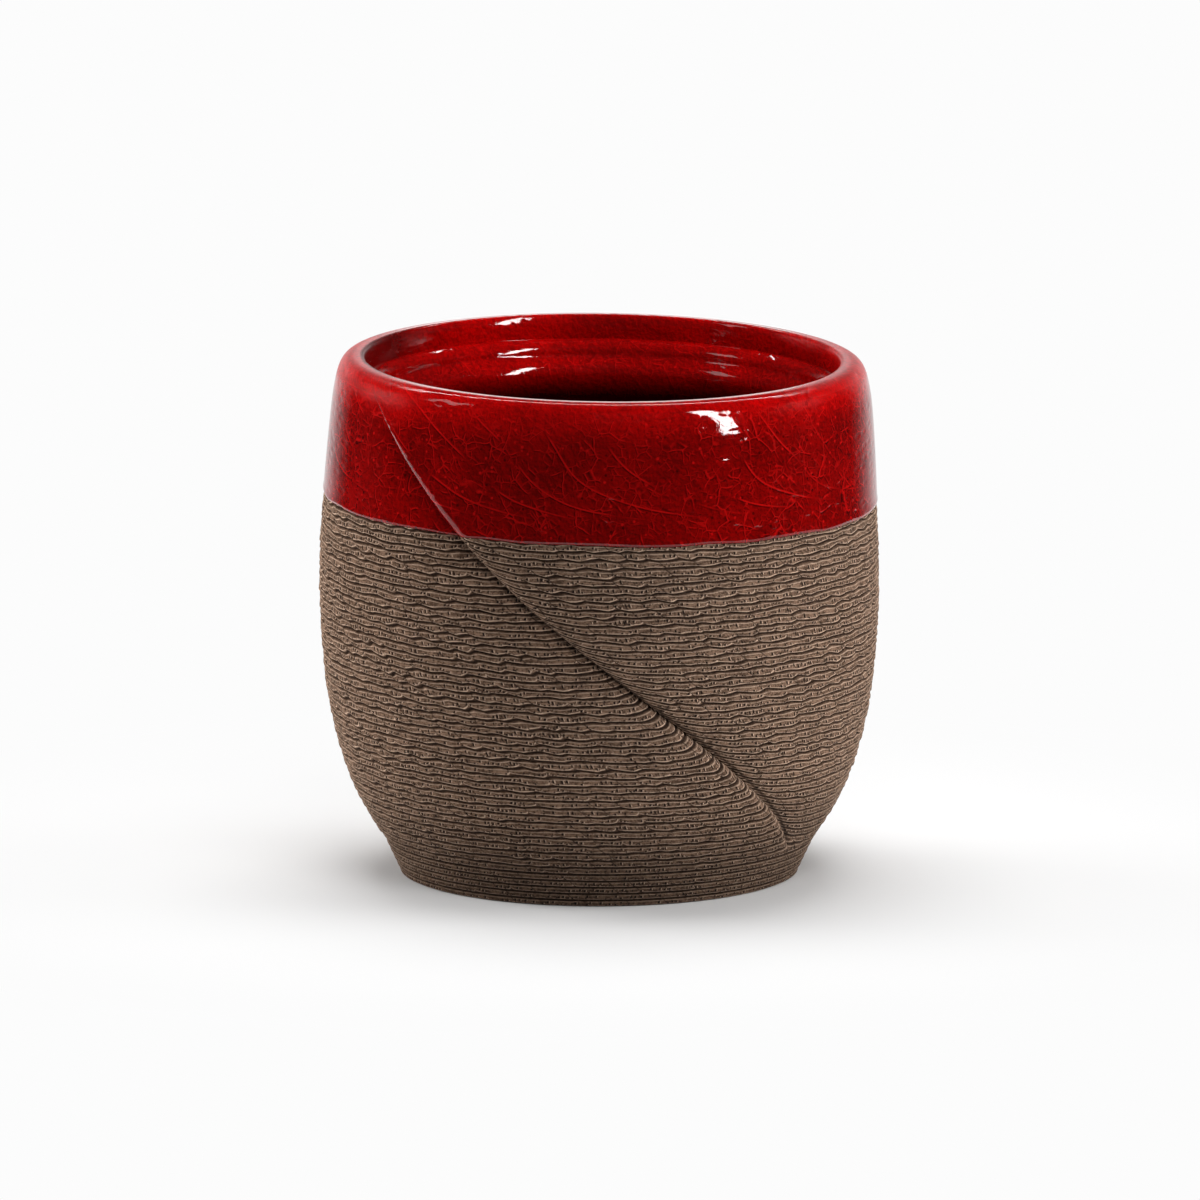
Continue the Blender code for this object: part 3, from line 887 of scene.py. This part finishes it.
def clay_joints(graph, place, gap, end):
    """Painted shade in the joints between courses, in the fold of the crease and in the gaps between the
    ends of beads.
    """
    finger = graph.attribute("finger")
    start, stop = (graph.math("MULTIPLY_ADD", finger, JOINT_FINGER, width) for width in JOINT_WIDTH)
    joint = graph.ramp(gap, start, stop, 1.0, 0.0)
    fold = graph.near(graph.attribute("fold"), CREASE_LINE, CREASE_LINE_SHADE)
    parted = graph.past(graph.noise(place, END_NOISE), END_CHANCE, END_SHADE)
    parted = graph.times(parted, graph.near(end, END_WIDTH))
    return graph.most(joint, fold, parted)


def clay_material(name):
    """Matt clay: beads with painted highlights on their edges and painted shade in their joints and pits,
    streaks, grain, and painted shade towards the foot.
    """
    material = bpy.data.materials.new(name)
    graph = Graph(material)
    place = graph.place()
    course = graph.attribute("course")
    along = graph.attribute("along")
    end = graph.size(graph.attribute("end"))
    share = graph.math("FRACT", course)
    gap = graph.math("MINIMUM", share, graph.times(graph.less(1.0, share), JOINT_LEAN))
    face = graph.past(gap, BEAD_FACE)
    pit, burr = bead_pits(graph, along, course, face)
    pore = clay_pores(graph, along, course, face)
    hollow = graph.most(graph.times(pit, PIT_SHADE), graph.times(pore, PORE_SHADE))
    highlight = graph.most(bead_edges(graph, place, share, end), graph.times(burr, BURR_SHARE))
    joint = clay_joints(graph, place, gap, end)

    tone = graph.noise(place, TONE_NOISE)
    grain = graph.noise(place, GRAIN_NOISE)
    flow = graph.vector(graph.times(along, STREAKS_PER_MM), graph.times(course, STREAKS_PER_COURSE), 0.0)
    streak = graph.noise(flow, STREAK_NOISE)
    blend = graph.total(
        graph.times(tone, TONE_SHARE),
        graph.times(grain, GRAIN_SHARE),
        graph.times(streak, STREAK_SHARE),
    )
    colour = graph.mix(graph.past(blend, CLAY_CONTRAST), DARK_CLAY, LIGHT_CLAY)
    # Painted shade towards the top of each face, below the bead above
    colour = graph.mix(graph.past(share, FACE_PAINTED_SHADE_REACH, FACE_PAINTED_SHADE), colour, DARK_CLAY)
    # Painted highlights on the bead edges and burrs
    colour = graph.mix(graph.times(highlight, EDGE_SHARE), colour, CLAY_HIGHLIGHT)
    # Painted shade in pits, pores, joints, the fold of the crease and the gaps between beads
    colour = graph.mix(hollow, colour, RECESS_SHADE)
    colour = graph.mix(graph.times(joint, JOINT_SHADE), colour, RECESS_SHADE)
    # Painted shade towards the table
    height = graph.split(place)[2]
    colour = graph.scale(colour, graph.ramp(height, 0.0, FOOT_PAINTED_SHADE_HEIGHT * MM, FOOT_PAINTED_SHADE, 1.0))

    lump = graph.total(graph.times(tone, TONE_RELIEF), graph.times(grain, GRAIN_RELIEF))
    lump = graph.less(lump, graph.times(hollow, HOLLOW_RELIEF))
    lump = graph.total(lump, graph.times(highlight, EDGE_RELIEF))
    graph.surface(
        {
            "Base Color": colour,
            "Roughness": CLAY_ROUGHNESS,
            "Specular IOR Level": CLAY_SHEEN,
            "Normal": graph.bump(lump),
        }
    )
    return material


def crazing(graph, place, spot, widths):
    """Thin lines of both crazing sizes at a spot, broken up in patches."""
    nets = []
    for size, width, noise, strength in zip(CRAZE_CELLS, widths, CRAZE_NOISES, CRAZE_STRENGTHS):
        patch = graph.past(graph.noise(place, noise), CRAZE_CHANCE, strength)
        line = graph.near(graph.cells(spot, size, "DISTANCE_TO_EDGE")["Distance"], (0.0, width))
        nets.append(graph.times(line, patch))
    return graph.most(*nets)


def long_cracks(graph, place, along, up, inside):
    """Long cracks that fall from the rim and sweep aside above the glaze line, and their painted shade."""
    sway = graph.math("MULTIPLY_ADD", graph.noise(place, CRACK_SWAY_NOISE), CRACK_SWAY, CRACK_PHASE)
    sweep = graph.math("EXPONENT", graph.times(up, -1.0 / CRACK_TURN))
    hang = graph.math("MULTIPLY_ADD", sweep, -CRACK_SWEEP, graph.times(up, CRACK_RUN))
    run = graph.math("MULTIPLY_ADD", sweep, CRACK_SWEEP / CRACK_TURN, CRACK_RUN)
    spread = graph.math("SQRT", graph.math("MULTIPLY_ADD", run, run, 1.0))
    cycle = graph.math("MULTIPLY_ADD", graph.total(along, hang), CRACKS_PER_MM, sway)
    aside = graph.less(graph.math("FRACT", cycle), 0.5)
    aside = graph.math("DIVIDE", aside, graph.times(spread, CRACKS_PER_MM))
    shown = graph.past(graph.noise(place, CRACK_NOISE), CRACK_CHANCE)
    shown = graph.times(shown, graph.less(1.0, inside), graph.past(up, CRACK_FADE))
    line = graph.near(graph.size(aside), CRACK_WIDTH)
    shade = graph.near(graph.size(graph.total(aside, CRACK_SHADE)), CRACK_WIDTH)
    return graph.times(line, shown), graph.times(shade, shown)


def glaze_specks(graph, place):
    """Small bright specks and small dark ones."""
    cell = graph.cells(place, SPECK_CELLS, "F1")
    dot = graph.near(cell["Distance"], SPECK_SIZE)
    pick = graph.picks(cell["Color"])[0]
    return graph.times(dot, graph.past(pick, BRIGHT_SPECKS)), graph.times(dot, graph.near(pick, DARK_SPECKS))


def glaze_gain(graph, y, z, inside, side_gain):
    """Painted light and shade in the red: paler on the rim and inside at the back, dark down in the bowl."""
    rim = graph.ramp(z, *RIM_REACH, 1.0, RIM_GAIN)
    back = graph.ramp(y, *INSIDE_BACK, side_gain, INSIDE_GAIN)
    gain = graph.math("MULTIPLY_ADD", inside, graph.less(back, rim), rim)
    sunk = graph.ramp(z, *BOWL_SHADE_DEPTH, BOWL_SHADE_GAIN, 1.0)
    return graph.times(gain, graph.most(sunk, graph.less(1.0, inside)))


def glaze_material(name, side_gain):
    """Glossy red glaze over dimpled beads, with crazing and long cracks that carry a painted shade, painted
    light and shade of a fine relief, and specks.

    Painted light makes it brighter inside the rim, and painted shade makes it dark down in the bowl.
    """
    material = bpy.data.materials.new(name)
    graph = Graph(material)
    place = graph.place()
    course = graph.attribute("course")
    along = graph.attribute("along")
    x, y, z = graph.split(graph.scale(place, 1.0 / MM))
    inside = graph.near(graph.length(graph.vector(x, y, 0.0)), GLOW_REACH)
    wander = graph.noises(place, *CRAZE_WANDER_NOISE)["Color"]
    bent = graph.shift(place, graph.scale(wander, CRAZE_WANDER * MM))
    below = graph.shift(bent, Vector(CRAZE_SHADE) * MM)
    up = graph.less(course, GLAZE_LINE - WALL_BOTTOM)
    crack, crack_shade = long_cracks(graph, place, along, up, inside)
    bright_dot, dark_dot = glaze_specks(graph, place)
    craze = graph.most(crack, crazing(graph, place, bent, CRAZE_WIDTHS), bright_dot)
    shade = graph.most(crack_shade, crazing(graph, place, below, CRAZE_SHADE_WIDTHS), dark_dot)

    patch = graph.past(graph.noise(place, PATCH_NOISE), PATCH_REACH, PATCH_SHARE)
    # Painted light and shade of a fine relief: noise at the lines less the same noise at their shade
    lit, unlit = (graph.noise(spot, EMBOSS_NOISE) for spot in (bent, below))
    blend = graph.total(patch, graph.times(graph.less(lit, unlit), EMBOSS_SHARE), BLEND_START)
    shown = graph.ramp(z, *RIM_REACH, 1.0, RIM_CRAZE)
    shown = graph.times(shown, graph.math("MULTIPLY_ADD", inside, INSIDE_CRAZE - 1.0, 1.0))
    colour = graph.mix(blend, GLAZE_DEEP, GLAZE_BRIGHT)
    # Painted shade below the crazing and the long cracks, with dark specks
    colour = graph.mix(graph.times(shade, CRAZE_SHADE_SHARE, shown), colour, GLAZE_SHADE)
    colour = graph.mix(graph.times(craze, CRAZE_LINE_SHARE, shown), colour, GLAZE_LINE_RED)
    # Painted light on the rim and inside at the back, painted shade down in the bowl
    colour = graph.scale(colour, glaze_gain(graph, y, z, inside, side_gain))

    dimple_place = graph.vector(graph.times(along, DIMPLES_PER_MM), course, 0.0)
    dimple = graph.cells(dimple_place, 1.0, "F1", DIMPLE_SCATTER)["Distance"]
    lump = graph.total(
        graph.past(dimple, DIMPLE_SIZE, DIMPLE_DEPTH),
        graph.times(craze, CRAZE_RELIEF),
        graph.times(graph.noise(place, WAVINESS_NOISE), WAVINESS),
    )
    soft = graph.times(graph.past(graph.size(x), SOFT_SIDES), graph.past(z, SOFT_RIM))
    roughness = graph.math("MULTIPLY_ADD", soft, SOFT_ROUGHNESS - GLAZE_ROUGHNESS, GLAZE_ROUGHNESS)
    graph.surface(
        {
            "Base Color": colour,
            "Roughness": roughness,
            "IOR": GLAZE_IOR,
            "Normal": graph.bump(lump),
        }
    )
    return material


def finish_piece(piece, node, material):
    """Gives a piece its material and its place on the frame."""
    piece.data.materials.append(material)
    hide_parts(node)
    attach(piece, "root")


def direction(azimuth, elevation):
    """Unit vector seen from the cup; azimuth 0 is the front and grows towards +X."""
    level = math.cos(elevation)
    return Vector((level * math.sin(azimuth), -level * math.cos(azimuth), math.sin(elevation)))


def add_lamp(name, azimuth, elevation, distance, size, power, roll=0.0):
    """Rectangular soft light that faces the middle of the cup."""
    lamp = bpy.data.lights.new(name, "AREA")
    lamp.shape = "RECTANGLE"
    lamp.size, lamp.size_y = (side * MM for side in size)
    lamp.energy = power
    holder = bpy.data.objects.new(name, lamp)
    towards = direction(math.radians(azimuth), math.radians(elevation))
    holder.location = towards * distance * MM + Vector((0.0, 0.0, VIEW_HEIGHT * MM))
    turn = Quaternion((0.0, 0.0, 1.0), math.radians(roll))
    holder.rotation_euler = (towards.to_track_quat("Z", "Y") @ turn).to_euler()
    bpy.context.scene.collection.objects.link(holder)
    return holder


def add_fill(*settings):
    """Soft light that lights the cup and is not mirrored in the glaze."""
    add_lamp(*settings).visible_glossy = False


def add_card(*settings):
    """Bright card that only shows as a mirror image in the glaze."""
    add_lamp(*settings).visible_diffuse = False


def build_floor():
    """Round pale table top that keeps the shadow of the cup and fades into the paper behind."""
    turns = 2.0 * math.pi * np.arange(FLOOR_SIDES) / FLOOR_SIDES
    radius = FLOOR_RADIUS * MM
    corners = [(radius * math.cos(turn), radius * math.sin(turn), 0.0) for turn in turns]
    mesh = bpy.data.meshes.new("floor")
    mesh.from_pydata(corners, [], [tuple(range(FLOOR_SIDES))])
    floor = bpy.data.objects.new("floor", mesh)
    bpy.context.scene.collection.objects.link(floor)
    material = bpy.data.materials.new("pale_floor")
    graph = Graph(material)
    fade = graph.ramp(graph.length(graph.place()), FLOOR_FADE[0] * MM, FLOOR_FADE[1] * MM)
    ray = graph.add("ShaderNodeLightPath", {}).outputs["Is Camera Ray"]
    top = graph.add("ShaderNodeBsdfDiffuse", {"Color": FLOOR_COLOUR})
    paper = graph.add("ShaderNodeEmission", {"Color": PAPER_WHITE, "Strength": 1.0})
    share = graph.times(fade, ray)
    both = graph.add("ShaderNodeMixShader", {0: share, 1: top.outputs[0], 2: paper.outputs[0]})
    graph.add("ShaderNodeOutputMaterial", {"Surface": both.outputs[0]})
    mesh.materials.append(material)


def build_world():
    """White paper behind the cup, which the glaze mirrors low down; the rest of the room is dim."""
    world = bpy.data.worlds.new("studio")
    bpy.context.scene.world = world
    graph = Graph(world)
    x, y, z = graph.split(graph.add("ShaderNodeTexCoord", {}).outputs["Generated"])
    off = graph.size(x)
    paper = graph.times(graph.near(off, PAPER_SPREAD), graph.past(y, PAPER_BACK), graph.near(z, PAPER_TOP))
    gleam = graph.times(graph.near(off, GLEAM_SPREAD, PAPER_GLEAM), graph.past(z, GLEAM_BOTTOM))
    level = graph.total(graph.times(paper, graph.total(gleam, PAPER_LEVEL)), ROOM_LEVEL)
    ray = graph.add("ShaderNodeLightPath", {}).outputs["Is Camera Ray"]
    light = graph.add("ShaderNodeBackground", {"Color": ROOM_LIGHT, "Strength": level})
    seen = graph.add("ShaderNodeBackground", {"Color": PAPER_WHITE, "Strength": 1.0})
    both = graph.add("ShaderNodeMixShader", {0: ray, 1: light.outputs[0], 2: seen.outputs[0]})
    graph.add("ShaderNodeOutputWorld", {"Surface": both.outputs[0]})


def build_stage():
    """Floor, surrounding light and lamps."""
    build_floor()
    build_world()
    for settings in FILLS:
        add_fill(*settings)
    for settings in CARDS:
        add_card(*settings)
    for number, azimuth in enumerate(BACK_CARDS):
        add_card(f"card_back_{number}", azimuth, *BACK_CARD)


def build_camera():
    """Long-lens view of the front from a little above."""
    camera = bpy.data.cameras.new("view")
    camera.sensor_width = SENSOR_WIDTH
    camera.lens = SENSOR_WIDTH * VIEW_DISTANCE / VIEW_WIDTH
    camera.clip_end = VIEW_DEPTH * MM
    holder = bpy.data.objects.new("view", camera)
    towards = direction(0.0, VIEW_ELEVATION)
    aim = Vector((VIEW_SIDE * MM, 0.0, VIEW_HEIGHT * MM))
    holder.location = aim + towards * VIEW_DISTANCE * MM
    holder.rotation_euler = towards.to_track_quat("Z", "Y").to_euler()
    bpy.context.scene.collection.objects.link(holder)
    bpy.context.scene.camera = holder


def build_scene():
    """Builds the pieces, the stage and the camera round the frame."""
    rng = np.random.default_rng(SEED)
    edge = glaze_edge(rng)
    clay = clay_material("beaded_clay")
    glaze = glaze_material("crackle_glaze", LIP_SIDE_GAIN)
    lining_glaze = glaze_material("lining_crackle_glaze", SHELF_SIDE_GAIN)
    finish_piece(build_base(rng), "base_disc", clay)
    finish_piece(build_wall(rng, edge), "bead_wall", clay)
    finish_piece(build_band(edge), "glaze_band", glaze)
    finish_piece(build_lining(), "glaze_lining", lining_glaze)
    build_stage()
    build_camera()
    bpy.context.scene.view_settings.view_transform = "Standard"


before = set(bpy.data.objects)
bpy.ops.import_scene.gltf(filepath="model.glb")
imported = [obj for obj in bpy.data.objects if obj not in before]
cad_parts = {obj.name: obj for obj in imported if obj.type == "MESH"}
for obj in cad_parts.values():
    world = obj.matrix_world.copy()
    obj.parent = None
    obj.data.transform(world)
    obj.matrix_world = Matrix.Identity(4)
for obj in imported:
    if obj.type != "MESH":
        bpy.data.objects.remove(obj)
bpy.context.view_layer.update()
build_scene()
